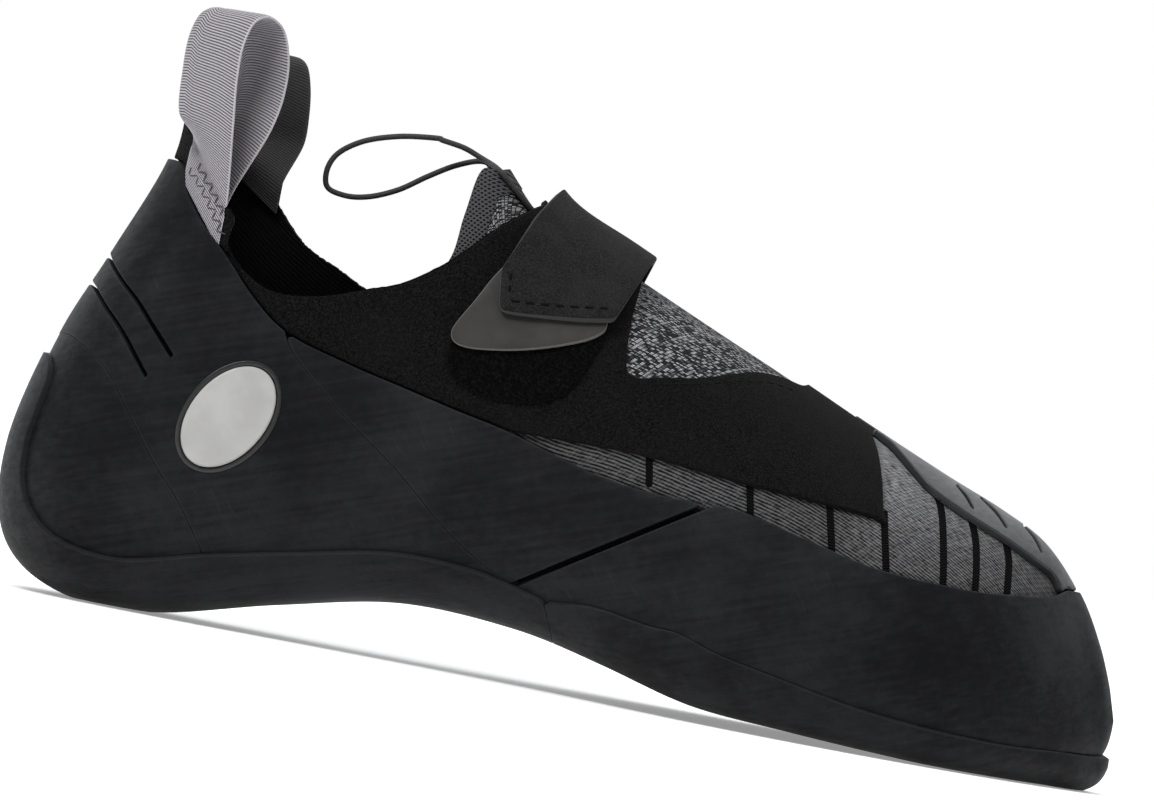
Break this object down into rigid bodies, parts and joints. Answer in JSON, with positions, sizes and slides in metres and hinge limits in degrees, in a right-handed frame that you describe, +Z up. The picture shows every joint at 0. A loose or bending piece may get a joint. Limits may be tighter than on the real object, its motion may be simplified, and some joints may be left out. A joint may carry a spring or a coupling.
{
  "type": "climbing shoe",
  "caption": "Downturned right climbing shoe: rubber-randed knit and suede slip-on with one hook-and-loop strap, two heel pull loops and a split outsole.",
  "frame": {"origin": "middle of the heel's flat spot, on the floor plane that heel and forefoot stand on", "axes": "+X towards the toe, +Y towards the medial side, +Z up"},
  "size_m": [0.2595, 0.0905, 0.1378],
  "materials": {
    "rubber": "matt satin black rubber",
    "suede": "black suede nap",
    "knit": "charcoal melange knit",
    "lining": "black brushed lining",
    "microfibre": "dark grey microfibre",
    "tab": "warm grey microfibre",
    "pile": "black loop pile",
    "grey_tape": "light grey grosgrain",
    "black_tape": "black grosgrain",
    "badge": "light grey satin"
  },
  "bodies": {
    "root": {"upper": "knit", "insole": "lining", "tongue": "knit", "quarter": "suede", "heel_cup": "rubber", "heel_rand": "rubber", "side_rand_lateral": "rubber", "side_rand_medial": "rubber", "front_rand": "rubber", "toe_patch": "rubber", "outsole_front": "rubber", "outsole_rear": "rubber", "strap": "microfibre", "strap_pull_tab": "tab", "strap_loop_patch": "pile", "side_badge": "badge", "pull_loop_lateral": "grey_tape", "pull_loop_medial": "black_tape", "tongue_loop": "black_tape"}
  },
  "joints": []
}
